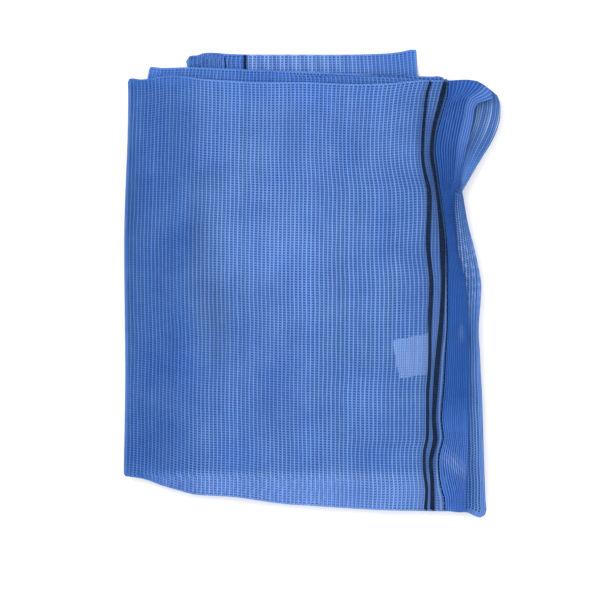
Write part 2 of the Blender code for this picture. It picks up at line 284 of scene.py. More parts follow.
def knit(name, place, ribs, rows, mat, *, half=0.25, bar=0.46, phase=0.5, crest=0.42 * MM,
         up=1.0, jitter=0.05, closed=None, close_ends=1, tone=None, pale=None, by_rib=None):
    """A ribbed knit with open holes.

    place(rib, row) gives x, y, z, and may add the x and z of the way the ribs rise.
    half is a rib's half width in ribs. bar is a cross thread's width and phase its
    place, in rows. crest is how far the ribs rise, along z times up. jitter is how
    far the ribs sway, in ribs. closed(rib, row) fills holes, and close_ends is how
    many rows at each end have none. tone(x, y) scales the colour, for random tone
    and painted shade and light, and pale(x, y) washes it out with painted light;
    by_rib(share of ribs, x, y) gives more of both.
    """
    rng = np.random.default_rng(len(name) * 7 + ribs)

    def per_rib(low, high):
        """A random value for each rib, given to its three vertex columns."""
        return rng.uniform(low, high, (ribs, 1)).repeat(3, 0)

    # Vertex lines lie on the lower and upper edge of each row's cross thread.
    lines = 2 * rows
    lower = np.arange(lines) % 2 == 0
    row = np.empty(lines)
    row[0::2] = np.arange(rows) + phase - bar / 2
    row[1::2] = np.arange(rows) + phase + bar / 2
    row[0], row[-1] = 0.0, rows
    # Vertex columns lie on the left flank, crest and right flank of each rib.
    flank = np.array([-1.0, 0.0, 1.0])[None, :, None]
    rib = np.arange(ribs)[:, None, None] + 0.5 + half * flank * np.where(lower, 1.10, 0.88)
    rib = rib.reshape(3 * ribs, lines)
    sway = jitter * np.sin(row[None, :] * 0.37 + per_rib(0, 6.28)) * per_rib(0.3, 1)
    row = np.broadcast_to(row[None, :], rib.shape)
    x, y, z, *rise = place(rib + sway, row)
    rise_x, rise_z = rise or (0, up)
    ridge = np.tile([0.10, 1.0, 0.10], ribs)[:, None] * crest * np.where(lower, 0.88, 1.12)
    ridge = ridge * per_rib(0.82, 1.12)
    verts = np.stack([x + rise_x * ridge, y, z + rise_z * ridge], -1).reshape(-1, 3)

    index = np.arange(3 * ribs * lines).reshape(3 * ribs, lines)

    def quads(columns, starts, mask=...):
        """Quads from each column to the next and each line to the next."""
        corners = (
            index[np.ix_(columns, starts)],
            index[np.ix_(columns + 1, starts)],
            index[np.ix_(columns + 1, starts + 1)],
            index[np.ix_(columns, starts + 1)],
        )
        return np.stack(corners, -1)[mask].reshape(-1, 4)

    flanks = 3 * np.arange(ribs)
    gaps = np.arange(ribs - 1)
    every = np.arange(lines - 1)
    bars = np.arange(0, lines - 1, 2)
    holes = np.arange(1, lines - 1, 2)
    rib_at, row_at = np.meshgrid(gaps + 1.0, (holes + 1) / 2, indexing="ij")
    shut = (row_at < close_ends) | (row_at > rows - close_ends)
    if closed is not None:
        shut |= closed(rib_at, row_at)
    faces = np.concatenate([
        quads(flanks, every),
        quads(flanks + 1, every),
        quads(3 * gaps + 2, bars),
        quads(3 * gaps + 2, holes, shut),
    ])
    if up < 0:
        faces = faces[:, ::-1]

    uv = np.stack([rib, row], -1).reshape(-1, 2)
    shade = per_rib(0.93, 1.07).repeat(lines, 1).ravel()
    x, y = verts[:, 0], verts[:, 1]
    if tone is not None:
        shade = shade * tone(x, y)
    light = np.zeros(len(verts)) if pale is None else pale(x, y)
    if by_rib is not None:
        more_tone, more_light = by_rib(uv[:, 0] / ribs, x, y)
        shade, light = shade * more_tone, light + more_light
    return mesh_object(name, verts, faces, mat, uv, shade, np.clip(light, 0, 1))


# ----------------------------------------------------------------- materials
class Graph:
    """A small helper for node materials."""

    def __init__(self, name):
        self.mat = bpy.data.materials.new(name)
        self.mat.use_nodes = True
        self.tree = self.mat.node_tree
        self.tree.nodes.clear()
        self.out = self.tree.nodes.new("ShaderNodeOutputMaterial")

    def node(self, kind, inputs=None, **settings):
        made = self.tree.nodes.new(kind)
        for key, value in settings.items():
            setattr(made, key, value)
        for key, value in (inputs or {}).items():
            self.put(made.inputs[key], value)
        return made

    def put(self, socket, value):
        if isinstance(value, bpy.types.NodeSocket):
            self.tree.links.new(value, socket)
        else:
            socket.default_value = value

    def math(self, operation, first, second=0.0, clamp=False):
        inputs = {0: first, 1: second}
        return self.node("ShaderNodeMath", inputs, operation=operation, use_clamp=clamp).outputs[0]

    def wave(self, value, pitch=1.0):
        """The sine of value, with the given period."""
        return self.math("SINE", self.math("MULTIPLY", value, TAU / pitch))

    def mix(self, factor, first, second, blend="MIX"):
        made = self.node("ShaderNodeMix", data_type="RGBA", blend_type=blend)
        self.put(made.inputs["Factor"], factor)
        for name, value in (("A", first), ("B", second)):
            self.put([s for s in made.inputs if s.name == name and s.type == "RGBA"][0], value)
        return [s for s in made.outputs if s.type == "RGBA"][0]

    def noise(self, vector, scale, detail=3.0, rough=0.55):
        inputs = {"Vector": vector, "Scale": scale, "Detail": detail, "Roughness": rough}
        return self.node("ShaderNodeTexNoise", inputs).outputs["Fac"]

    def remap(self, value, to, span=(0.3, 0.7)):
        """Value from span to the range to; the usual span is that of noise."""
        inputs = {
            "Value": value,
            "From Min": span[0],
            "From Max": span[1],
            "To Min": to[0],
            "To Max": to[1],
        }
        return self.node("ShaderNodeMapRange", inputs).outputs[0]

    def scaled(self, vector, scale):
        return self.node("ShaderNodeMapping", {"Vector": vector, "Scale": scale}).outputs[0]

    def place(self):
        return self.node("ShaderNodeTexCoord").outputs["Object"]

    def attribute(self, name):
        return self.node("ShaderNodeAttribute", attribute_name=name).outputs["Fac"]

    def bump(self, height, strength, distance):
        inputs = {"Strength": strength, "Distance": distance, "Height": height}
        return self.node("ShaderNodeBump", inputs).outputs[0]

    def surface(self, shader):
        self.put(self.out.inputs[0], shader.outputs[0])
        return self.mat

    def leaking(self, shader, share, leak):
        """The shader as surface, with a share of light let through the cloth."""
        through = self.node("ShaderNodeBsdfTranslucent", leak)
        inputs = {0: share, 1: shader.outputs[0], 2: through.outputs[0]}
        return self.surface(self.node("ShaderNodeMixShader", inputs))


def rgb(red, green, blue):
    return (red, green, blue, 1.0)


def yarn(name, dark, light, *, through=0.16, glow=None, rough=0.52, bump=0.35, sheen=0.05,
         specular=0.12, crown=1.20, valley=0.66, knot=1.28, fleck=None, hidden=None, inside=1.0):
    """Knitted yarn: chain-stitch loops along each rib, fibres, uneven dye.

    dark and light are the dye's ends; fleck is a colour of stray spots. through is
    the share of light let through, tinted with glow. crown, valley and knot are the
    brightness of a rib's middle, its flanks and the cross threads: a painted highlight
    on the middle, painted shade on the flanks and painted light on the cross threads.
    hidden is the (dark, light) colour of the back of the faces, painted as lit by blue
    cloth alone, and inside is their brightness, painted shade for the tunnel.
    """
    graph = Graph(name)
    uv = graph.node("ShaderNodeUVMap", uv_map="knit").outputs[0]
    rib, row = graph.node("ShaderNodeSeparateXYZ", {0: uv}).outputs[:2]
    across = graph.math("SUBTRACT", graph.math("FRACT", rib), 0.5)
    away = graph.math("ABSOLUTE", across)
    # V-shaped loops: the phase runs ahead at the middle of the rib.
    loops = graph.wave(graph.math("SUBTRACT", row, graph.math("MULTIPLY", away, 1.9)))
    # Fine strands wind slantwise round the rib.
    twist = graph.math("MULTIPLY", across, 9.0)
    strand = graph.wave(graph.math("ADD", twist, graph.math("MULTIPLY", row, 1.0)))
    place = graph.place()
    blotch = graph.noise(place, scale=26.0)
    cloth = graph.noise(place, scale=320.0, detail=2.0)
    fibre_at = graph.scaled(uv, (14.0, 3.0, 1.0))
    fibre = graph.noise(fibre_at, scale=1.0, detail=4.0, rough=0.6)
    tone, pale = graph.attribute("tone"), graph.attribute("pale")

    level = graph.math(
        "ADD", graph.math("MULTIPLY", loops, 0.22), graph.remap(blotch, to=(0.28, 0.68))
    )
    level = graph.math("ADD", level, graph.remap(cloth, to=(-0.10, 0.10)))
    level = graph.math("ADD", level, graph.remap(fibre, to=(-0.12, 0.12)), clamp=True)
    colour = graph.mix(level, dark, light)
    if hidden is not None:
        # The side that faces into the bundle is lit by blue cloth alone.
        turned = graph.node("ShaderNodeNewGeometry").outputs["Backfacing"]
        colour = graph.mix(turned, colour, graph.mix(level, *hidden))
        specular = graph.remap(turned, to=(specular, 0.0), span=(0.0, 1.0))
    # Painted highlight on the crown, painted shade on the flanks, and painted light where the
    # cross threads catch it between ribs.
    flank = graph.remap(away, to=(crown, valley), span=(0.0, 0.24))
    crossing = graph.remap(away, to=(0.0, 1.0), span=(0.27, 0.42))
    shade = graph.math("ADD", flank, graph.math("MULTIPLY", crossing, knot - valley))
    scale = graph.math("MULTIPLY", tone, shade)
    if inside < 1:
        # The side that faces into the tunnel gets little light.
        dimming = graph.remap(turned, to=(1.0, inside), span=(0.0, 1.0))
        scale = graph.math("MULTIPLY", scale, dimming)
    grey = graph.node("ShaderNodeCombineColor", {0: scale, 1: scale, 2: scale}).outputs[0]
    colour = graph.mix(1.0, colour, grey, "MULTIPLY")
    # Painted light: where pale is set, the colour is washed out towards WASH.
    colour = graph.mix(pale, colour, graph.mix(1.0, WASH, grey, "MULTIPLY"))
    if fleck is not None:
        spots = graph.noise(graph.scaled(uv, (2.2, 0.8, 1.0)), scale=1.0, detail=2.0, rough=0.7)
        colour = graph.mix(graph.remap(spots, to=(0.0, 0.8), span=(0.58, 0.72)), colour, fleck)

    height = graph.math(
        "ADD", graph.math("MULTIPLY", loops, 0.6), graph.math("MULTIPLY", strand, 0.18)
    )
    height = graph.math("ADD", height, graph.math("MULTIPLY", fibre, 0.7))
    roughness = graph.remap(fibre, to=(rough - 0.10, rough + 0.14), span=(0.25, 0.75))
    bumped = graph.bump(height, strength=bump, distance=0.25 * MM)
    shader = graph.node("ShaderNodeBsdfPrincipled", {
        "Base Color": colour,
        "Roughness": roughness,
        "Normal": bumped,
        "Sheen Weight": sheen,
        "Sheen Roughness": 0.5,
        "Specular IOR Level": specular,
    })
    if through > 0:
        leak = {"Color": graph.mix(0.5, colour, glow or light), "Normal": bumped}
        return graph.leaking(shader, through, leak)
    return graph.surface(shader)


def label_material():
    """A plain woven tape, faintly stained."""
    graph = Graph("label_tape")
    place = graph.place()
    thread_pitch = 0.35 * MM
    split = graph.node("ShaderNodeSeparateXYZ", {0: place})
    warp, weft = (graph.wave(split.outputs[i], thread_pitch) for i in (0, 1))
    weave = graph.math("MULTIPLY", warp, weft)
    stain = graph.noise(place, scale=90.0)
    level = graph.remap(stain, to=(0.3, 0.7))
    level = graph.math("ADD", level, graph.math("MULTIPLY", weave, 0.08), clamp=True)
    colour = graph.mix(level, rgb(0.33, 0.45, 0.70), rgb(0.46, 0.57, 0.79))
    shader = graph.node("ShaderNodeBsdfPrincipled", {
        "Base Color": colour,
        "Roughness": graph.remap(stain, to=(0.42, 0.58)),
        "Normal": graph.bump(weave, strength=0.25, distance=0.05 * MM),
        "Sheen Weight": 0.1,
    })
    return graph.leaking(shader, 0.2, {"Color": colour})


def floor_material():
    """White paper with a faint unevenness."""
    graph = Graph("floor_white")
    paper = graph.remap(graph.noise(graph.place(), scale=40.0), to=(0.0, 1.0))
    colour = graph.mix(paper, rgb(0.93, 0.93, 0.935), rgb(0.95, 0.95, 0.95))
    shader = graph.node("ShaderNodeBsdfPrincipled", {
        "Base Color": colour,
        "Roughness": 0.9,
        "Specular IOR Level": 0.1,
    })
    return graph.surface(shader)


WASH = rgb(0.34, 0.49, 0.80)  # the colour that painted light washes the cloth towards
DYE_DARK, DYE_LIGHT = rgb(0.026, 0.108, 0.425), rgb(0.110, 0.250, 0.600)
# Painted light on the backs of the inner faces, as lit by blue cloth alone: dark and light ends.
INNER_BOUNCE_LIGHT = (rgb(0.016, 0.115, 0.520), rgb(0.065, 0.255, 0.780))
OPEN_GLOW, INNER_GLOW = rgb(0.10, 0.28, 0.75), rgb(0.09, 0.28, 0.77)
MATT = dict(rough=0.8, through=0.0, sheen=0.0, specular=0.05)

MESH = yarn("blue_knit", DYE_DARK, DYE_LIGHT, glow=OPEN_GLOW)
UNDER = yarn(
    "blue_knit_inside", DYE_DARK, DYE_LIGHT,
    glow=INNER_GLOW, crown=1.15, hidden=INNER_BOUNCE_LIGHT, sheen=0.02,
)
HEM = yarn(
    "hem_knit", rgb(0.006, 0.050, 0.260), rgb(0.022, 0.110, 0.420),
    through=0.05, glow=rgb(0.04, 0.16, 0.55), valley=0.50, crown=1.40, knot=0.60,
    specular=0.05, sheen=0.0,
)
BLACK = yarn(
    "black_knit", rgb(0.003, 0.008, 0.024), rgb(0.009, 0.019, 0.050),
    fleck=rgb(0.060, 0.080, 0.110), **MATT,
)
THREAD = yarn("black_thread", rgb(0.001, 0.004, 0.014), rgb(0.004, 0.010, 0.030), **MATT)
FLARE = yarn(
    "blue_knit_flare", rgb(0.018, 0.098, 0.400), DYE_LIGHT,
    glow=OPEN_GLOW, valley=0.44, crown=1.50, knot=1.05,
)
FACING = yarn(
    "blue_knit_facing", DYE_DARK, DYE_LIGHT,
    glow=INNER_GLOW, through=0.10, hidden=INNER_BOUNCE_LIGHT, inside=0.32,
)
CORD = yarn(
    "cord_braid", rgb(0.025, 0.10, 0.38), rgb(0.06, 0.19, 0.58),
    rough=0.55, through=0.0, bump=0.5,
)
LABEL = label_material()


# ---------------------------------------------------------------- flat plies
# The outward side of a flat tube's lower wall: wider ribs and threads, with the
# rows about half a row on from the upper wall's.
DENSE = dict(half=0.30, bar=0.58, phase=0.04)


def rib_ends(outline, across, rib):
    """Where each rib meets the ply's bottom and top edges, found by iteration."""
    ends = []
    for side, start in ((outline.bottom, -1.0), (outline.top, 1.0)):
        y = np.full(rib.shape, start)
        for _ in range(4):
            y = side(across(rib, y))
        ends.append(y)
    return ends


def turned_edge(z, row, rows, z_mate, reach=2.4 * MM):
    """Bends a ply's end rows towards its mate, as the side of a flat tube."""
    near = np.minimum(row, rows - row) * ROW_PITCH
    share = np.clip(near / reach, 0, 1)
    arc = np.sqrt(np.clip(1 - (1 - share) ** 2, 0, 1))
    centre = (z + z_mate) / 2
    return centre + (z - centre) * arc


def guided(guides):
    """x for a rib coordinate at y, between guides of (rib number, curve x(y))."""
    stops = np.array([stop for stop, _ in guides], float)

    def across(rib, y):
        values = np.stack([curve(y) for _, curve in guides])
        k = np.clip(np.searchsorted(stops, rib, side="right") - 1, 0, len(stops) - 2)
        share = (rib - stops[k]) / (stops[k + 1] - stops[k])
        left = np.take_along_axis(values, k[None], 0)[0]
        right = np.take_along_axis(values, k[None] + 1, 0)[0]
        return left + (right - left) * share

    return across


def ply(name, outline, guides, rows, mat, body, node, mate, wobble, sink=None, **weave):
    """One flat length of one wall of the net; mate is the fold's other wall."""
    z_own, z_mate = middle_z(node), middle_z(mate)
    across = guided(guides)
    ribs = guides[-1][0]

    def place(rib, row):
        low, high = rib_ends(outline, across, rib)
        y = low + (high - low) * row / rows
        x = across(rib, y)
        x = x + wobble * waves(x * 0.3, y, ribs, 0.10)
        z = z_own + relief(x, y, z_own)
        z = turned_edge(z, row, rows, z_mate + relief(x, y, z_mate))
        if sink is not None:
            z = z - sink(x, y)
        return x, y, z

    obj = knit(name, place, ribs, rows, mat, **weave)
    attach(obj, body)
    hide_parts(node)


def shifted(curve, amount):
    return lambda y: curve(y) + amount


def swaying(x, amount, length, phase=0.0):
    """A line along y that sways about x."""
    return lambda y: x + amount * np.sin(y / length + phase)


# Painted light and shade of broad dents in the lying cloth: centre x, y, reach in x, y, and how
# much lighter.
DENT_SHADING = [
    (-0.010, 0.151, 0.085, 0.010, 0.13),
    (-0.026, 0.023, 0.022, 0.020, 0.14),
    (-0.077, -0.030, 0.014, 0.036, -0.24),
    (-0.089, 0.030, 0.012, 0.050, -0.20),
    (-0.082, 0.086, 0.010, 0.012, -0.13),
    (-0.145, 0.060, 0.010, 0.090, -0.14),
    (-0.098, -0.066, 0.012, 0.022, 0.12),
    (-0.054, -0.141, 0.020, 0.014, 0.10),
    (0.052, -0.141, 0.022, 0.013, 0.13),
    (0.040, -0.085, 0.020, 0.016, 0.09),
    (-0.020, -0.010, 0.014, 0.012, 0.09),
    (-0.110, -0.155, 0.022, 0.006, 0.14),
    (-0.144, 0.000, 0.006, 0.150, -0.12),
]


def past_stripe(x, y):
    """One between the wide stripe and the puffed hem."""
    return ramp(x - wide_stripe.right(y), -1.2 * MM, 0.8 * MM)


def beside_puffed(y):
    """One along the upper stretch, where the hem is puffed."""
    return ramp(y, 0.016, 0.012)


def front_tone(x, y):
    """The front wall's broad tone: painted shade, deeper at the left turn and by the stripes,
    painted light in the middle, and a little random tone.
    """
    left, right = ramp(x, -0.100, 0.018), ramp(x, 0.094, -0.022)
    centre = hump(x, y, -0.030, 0.040, 0.075, 0.085)
    tone = (0.855 + 0.145 * left) * (0.86 + 0.14 * right) * (1 + 0.06 * centre)
    tone = tone * (1 + 0.03 * waves(x, y, 31, 0.07))
    # Painted light and shade of the broad dents.
    for *dent, amount in DENT_SHADING:
        tone = tone * (1 + amount * hump(x, y, *dent))
    # The wall falls into shade between the wide stripe and the puffed hem.
    shade = 0.09 + beside_puffed(y) * (0.53 - 0.14 * ramp(y, 0.085, 0.03))
    tone = tone * (1 - past_stripe(x, y) * shade)
    # Painted shade where it is also bent down beside and between the stripes near the top.
    from_narrow = x - mid_narrow(y)
    over = ramp(from_narrow, 0, MM)
    beside = ramp(from_narrow, -6 * MM, 2.5 * MM) * (1 - over)
    between = over * (1 - ramp(x - mid_wide(y), 0, 0.5 * MM))
    tone = tone * (1 - 0.23 * beside * bell(y, 0.118, 0.026))
    return tone * (1 - 0.28 * between * bell(y, 0.088, 0.045))


def label_zone(x, y):
    """One where the care label lies below, falling off past its edges."""
    inside = np.full(np.shape(x), np.inf)
    for start, end in zip(LABEL_LOOP, np.roll(LABEL_LOOP, -1, axis=0)):
        way = end - start
        size = math.hypot(*way)
        if size > 0:
            turned = way[0] * (y - start[1]) - way[1] * (x - start[0])
            inside = np.minimum(inside, turned / size)
    return ramp(inside, -0.4 * MM, 0.8 * MM)


def front_pale(x, y):
    """Where light comes through from below or lies softly on the wall."""
    left = ramp(x, -0.108, 0.025)
    centre = hump(x, y, -0.030, 0.040, 0.085, 0.095)
    # A rippled strip of painted light along the bottom edge.
    strip = ramp(y, -0.1475, -0.007) * ramp(x, -0.140, 0.03)
    ripple = np.sin(x / 0.00105 + 2.4 * np.sin(y / 0.0031) + 2.0 * np.sin(x / 0.011))
    strip = strip * (1 + 0.42 * ripple * ramp(x, 0.040, -0.04))
    wash = 0.10 * left + 0.07 * centre * left + 0.19 * strip
    wash = wash + 0.02 * waves(x, y, 33, 0.05) + 0.13 * label_zone(x, y)
    return wash * (1 - 0.9 * past_stripe(x, y) * beside_puffed(y))


def back_pale(x, y):
    """Painted light on the thin patch beside the bottom stripe, seen at the bundle's top, in
    streaks over a faint wash.
    """
    patch_x = ramp(x, -0.0535, 0.004) * ramp(x, 0.078, -0.085)
    streak = 0.65 + 0.35 * np.sin(x * TAU / 0.0115 + 3 * np.sin(y * 40))
    return 0.06 + 0.40 * patch_x * streak * ramp(y, 0.158, 0.012)


def shaded_below(x, y):
    """Inner plies that lie under the whole stack get little light."""
    inside = ramp(y, -0.158, 0.008) * ramp(y, 0.163, -0.006)
    turn_side = ramp(x, -0.082 + 0.006 * np.sin(y / 0.03), -0.016)
    return 1.0 - inside * (0.42 + 0.08 * turn_side)


def sunk_past_seam(x, y):
    """The front wall dips under the hem."""
    return 0.9 * MM * ramp(x - mid_seam(y), 0, 0.8 * MM)


front_side = shifted(front.left, 0.3 * MM)

# Guides: rib number and the line that it follows; the last number is the rib count.
FRONT_OUTER = [
    (0, front_side),
    (16, shifted(front.left, 47.0 * MM)),
    (46, swaying(-0.006, 0.4 * MM, 0.045)),
    (74, shifted(mid_narrow, -4.6 * MM)),
    (77, shifted(mid_narrow, 1.5 * MM)),
    (80, shifted(mid_wide, -1.6 * MM)),
    (82, mid_seam),
    (84, shifted(mid_seam, 3.2 * MM)),
]
FRONT_INNER = [
    (0, shifted(front.left, 0.4 * MM)),
    (40, swaying(-0.0205, 0.5 * MM, 0.06, 1)),
    (80, even(0.1070)),
]
MIDDLE_UPPER = [
    (0, middle.left),
    (38, swaying(-0.022, 0.5 * MM, 0.05)),
    (77, middle.right),
]
MIDDLE_LOWER = [
    (0, middle.left),
    (41, swaying(-0.020, 0.9 * MM, 0.04, 2)),
    (81, middle.right),
]
BACK_UPPER = [
    (0, back.left),
    (14, shifted(middle_line(bottom_stripe), 1.4 * MM)),
    (57, back.right),
]
BACK_LOWER = [
    (0, back.left),
    (37, swaying(-0.014, 0.6 * MM, 0.05, 1)),
    (72, back.right),
]

ply(
    "front_outer_knit", front, FRONT_OUTER, rows=163, mat=MESH, body="front_fold",
    node="front_fold_outer_ply", mate="front_fold_inner_ply", wobble=0.25 * MM,
    tone=front_tone, pale=front_pale, sink=sunk_past_seam,
)
ply(
    "front_inner_knit", front, FRONT_INNER, rows=162, mat=UNDER, body="front_fold",
    node="front_fold_inner_ply", mate="front_fold_outer_ply", wobble=0.5 * MM,
    tone=shaded_below, up=-1.0, **DENSE,
)
ply(
    "middle_upper_knit", middle, MIDDLE_UPPER, rows=156, mat=MESH, body="middle_fold",
    node="middle_fold_upper_ply", mate="middle_fold_lower_ply", wobble=0.4 * MM,
    tone=shaded_below, pale=even(0.05),
)
ply(
    "middle_lower_knit", middle, MIDDLE_LOWER, rows=156, mat=UNDER, body="middle_fold",
    node="middle_fold_lower_ply", mate="middle_fold_upper_ply", wobble=0.5 * MM,
    up=-1.0, **DENSE,
)
ply(
    "back_upper_knit", back, BACK_UPPER, rows=164, mat=MESH, body="back_fold",
    node="back_fold_upper_ply", mate="back_fold_lower_ply", wobble=0.3 * MM,
    pale=back_pale,
)
ply(
    "back_lower_knit", back, BACK_LOWER, rows=164, mat=UNDER, body="back_fold",
    node="back_fold_lower_ply", mate="back_fold_upper_ply", wobble=0.4 * MM,
    up=-1.0, **DENSE,
)


# ------------------------------------------------------- turns between folds
def turn(name, lower, upper, plies, far, rows, side, face, bodies, axis, window, **weave):
    """The soft turn of cloth from the edge of one fold to the next.

    lower and upper are (side curve, low y, high y) of the two plies that it joins,
    plies their nodes. far is the curve that the bend reaches, side is 1 at the right
    and -1 at the left, and face tells which way the ribs rise. window, where a blend
    would start and end as heights from the axis, is not used.
    """
    edge_a, low_a, high_a = lower
    edge_b, low_b, high_b = upper
    z_a, z_b = map(middle_z, plies)
    tuck = 2.2 * MM
    sink = 0.15 * MM
    radius, z_centre = (z_b - z_a) / 2, (z_a + z_b) / 2
    reach_x = radius * 0.9
    share = np.linspace(0, 1, 200)
    y_a, y_b = low_a + (high_a - low_a) * share, low_b + (high_b - low_b) * share
    reach = np.abs(edge_a(y_a) - far(y_a)) + np.abs(edge_b(y_b) - far(y_b)) + 2 * tuck
    width = float(np.percentile(reach, 70)) + abs(z_b - z_a)
    ribs = max(4, int(round(width / RIB_PITCH)))

    def path(rib, row):
        """Out along the lower ply, round the bend and back along the upper ply."""
        share = rib / ribs
        low = low_a + (low_b - low_a) * share
        high = high_a + (high_b - high_a) * share
        y = low + (high - low) * row / rows
        x_a, x_b = edge_a(y) - side * tuck, edge_b(y) - side * tuck
        bend_at = far(y) - side * reach_x
        out, home, arc = np.abs(bend_at - x_a), np.abs(bend_at - x_b), math.pi * radius
        run = share * (out + home + arc)
        going, coming = run < out, run > out + arc
        share_a = np.clip(run / np.maximum(out, 1e-9), 0, 1)
        share_b = np.clip((run - out - arc) / np.maximum(home, 1e-9), 0, 1)
        angle = np.clip((run - out) / arc, 0, 1) * math.pi
        x_bend = bend_at + side * reach_x * np.sin(angle)
        x_home = bend_at + (x_b - bend_at) * share_b
        x = np.where(going, x_a + (bend_at - x_a) * share_a, np.where(coming, x_home, x_bend))
        start_z = z_a + relief(x_a, y, z_a) - sink
        end_z = z_b + relief(x_b, y, z_b) - sink
        z_out = start_z + (z_a - start_z) * smoothstep(share_a)
        z_home = z_b + (end_z - z_b) * smoothstep(share_b)
        z_bend = z_centre - radius * np.cos(angle)
        return x, y, np.where(going, z_out, np.where(coming, z_home, z_bend))

    def place(rib, row):
        """The path, with its normal as the way the ribs rise."""
        ahead, behind = path(rib + 0.04, row), path(rib - 0.04, row)
        dx, dz = ahead[0] - behind[0], ahead[2] - behind[2]
        size = np.maximum(np.hypot(dx, dz), 1e-9)
        return *path(rib, row), -face * dz / size, face * dx / size

    obj = knit(
        name, place, ribs, rows, MESH, crest=0.40 * MM, jitter=0.0, pale=even(0.08), **weave
    )
    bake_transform(obj)


def right_far(y):
    return np.maximum(middle.right(y), RIGHT_AXIS[0] - 1.6 * MM)


def left_far(y):
    return front.left(y) + 0.1 * MM


def y_range(outline, x, margin=1.2 * MM):
    """The outline's low and high y at x, drawn in by the margin."""
    low, high = (float(outline.cross([x], 0, side)[0]) for side in (-1, 1))
    return low + margin, high - margin


right_range = y_range(middle, middle.high[0] - 3 * MM, 3 * MM)
RIGHT_TURN = dict(
    lower=(back.right, *right_range),
    upper=(middle.right, *right_range),
    rows=158, side=1.0, bodies=("back_fold", "middle_fold"), axis=RIGHT_AXIS,
)
LEFT_TURN = dict(
    lower=(middle.left, *y_range(middle, middle.low[0] + 16 * MM)),
    upper=(front_side, *y_range(front, front.low[0] + 6 * MM)),
    rows=154, side=-1.0, bodies=("middle_fold", "front_fold"), axis=LEFT_AXIS,
)
turn(
    "right_turn_inner", plies=("back_fold_upper_ply", "middle_fold_lower_ply"),
    far=right_far, face=1.0, window=(-0.9 * MM, 0.6 * MM), **RIGHT_TURN,
)
turn(
    "right_turn_outer", plies=("back_fold_lower_ply", "middle_fold_upper_ply"),
    far=shifted(right_far, 1.0 * MM), face=-1.0, window=(-1.6 * MM, 1.6 * MM),
    **RIGHT_TURN, **DENSE,
)
turn(
    "left_turn_inner", plies=("middle_fold_upper_ply", "front_fold_inner_ply"),
    far=shifted(left_far, 0.9 * MM), face=1.0, window=(-0.7 * MM, 0.7 * MM),
    **LEFT_TURN, **DENSE,
)
turn(
    "left_turn_outer", plies=("middle_fold_lower_ply", "front_fold_outer_ply"),
    far=left_far, face=-1.0, window=(-1.6 * MM, 1.6 * MM), **LEFT_TURN,
)


# ----------------------------------------------------------------- mouth hem
HEM_ROWS = 168
HEM_BLEND = 2.6 * MM  # reach of the blend to each side of the hem's axis


def stretch(loop, start, end, test):
    """Of the two ways round a loop between points near start and end, one by test."""
    i, j = (int(np.argmin(((loop - point) ** 2).sum(1))) for point in (start, end))
    rolled = np.roll(loop, -i, axis=0)
    k = (j - i) % len(loop)
    one, two = rolled[: k + 1], np.concatenate([rolled[k:], rolled[:1]])[::-1]
    return one if test(one, two) else two


def on_right(one, two):
    return one[:, 0].min() > two[:, 0].min()


def at_top(one, _):
    return one[:, 1].min() > 0.1


def at_bottom(one, _):
    return one[:, 1].max() < -0.1


def by_length(points, count):
    """A polyline resampled at even steps."""
    step = np.hypot(*np.diff(points, axis=0).T)
    run = np.concatenate([[0], np.cumsum(step)])
    grid = np.linspace(0, run[-1], count)
    return np.stack([np.interp(grid, run, points[:, k]) for k in (0, 1)], -1)


def climb(points):
    """How far each point has risen in y, from 0 to 1."""
    rise = np.maximum.accumulate(points[:, 1]) - points[0, 1]
    return rise / rise[-1]


def increasing(grid):
    return np.maximum.accumulate(grid + np.arange(len(grid)) * 1e-9)


def follow(points, grid):
    """A polyline as a function of 0..1, with grid as its points' parameters."""
    return lambda share: tuple(np.interp(share, grid, points[:, k]) for k in (0, 1))


def curve_of(points, count=400):
    return follow(by_length(points, count), np.linspace(0, 1, count))


def patch(left, right, bottom, top):
    """A Coons patch between four curves, each a function of 0..1 to (x, y)."""
    zero, one = np.zeros(1), np.ones(1)
    corners = left(zero), right(zero), left(one), right(one)

    def place(across, along):
        sides = left(along), right(along), bottom(across), top(across)
        u, v = across, along
        found = []
        for k in (0, 1):
            low_left, low_right, high_left, high_right = (corner[k] for corner in corners)
            at_left, at_right, at_low, at_high = (side[k] for side in sides)
            flat = (1 - u) * (1 - v) * low_left + u * (1 - v) * low_right
            flat = flat + (1 - u) * v * high_left + u * v * high_right
            ruled = (1 - u) * at_left + u * at_right + (1 - v) * at_low + v * at_high
            found.append(ruled - flat)
        return found

    return place


def line_along_y(curve, low, high):
    """The curve x(y) from low to high, as a function of 0..1."""

    def point(share):
        y = low + (high - low) * share
        return curve(y), y

    return point


def blend_hem(obj):
    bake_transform(obj)


def hem_front_patch():
    """The front band, from the stitch line to its free edge and turned-over lip."""
    loop = top_loop("mouth_hem_front_band")
    x, y = loop.T
    low_x = x.min()
    low_y, high_y = seam.low[1], seam.high[1]
    tip = loop[np.argmax(x + np.where(y > 0.12, 1, 0))]
    foot = loop[np.argmax(x - 3 * y)]
    side = by_length(stretch(loop, foot, tip, on_right), 900)
    # Below the lip rows keep their height; above, they are spread by length.
    lip = int(np.argmin(np.abs(side[:, 1] - 0.139) + np.where(side[:, 0] > 0.1305, 1, 0)))
    lip_share = (side[lip, 1] - low_y) / (high_y - low_y)
    below = climb(side[: lip + 1]) * lip_share
    above = np.linspace(lip_share, 1, len(side) - lip)
    right = follow(side, increasing(np.concatenate([below, above[1:]])))
    top = stretch(loop, (low_x, high_y), tip, at_top)
    top = np.concatenate([[[mid_seam(high_y), high_y]], top])
    bottom = np.array([[mid_seam(low_y), low_y], [low_x, low_y + 0.1 * MM], foot])
    left = line_along_y(mid_seam, low_y, high_y)
    return patch(left, right, curve_of(bottom), curve_of(top))


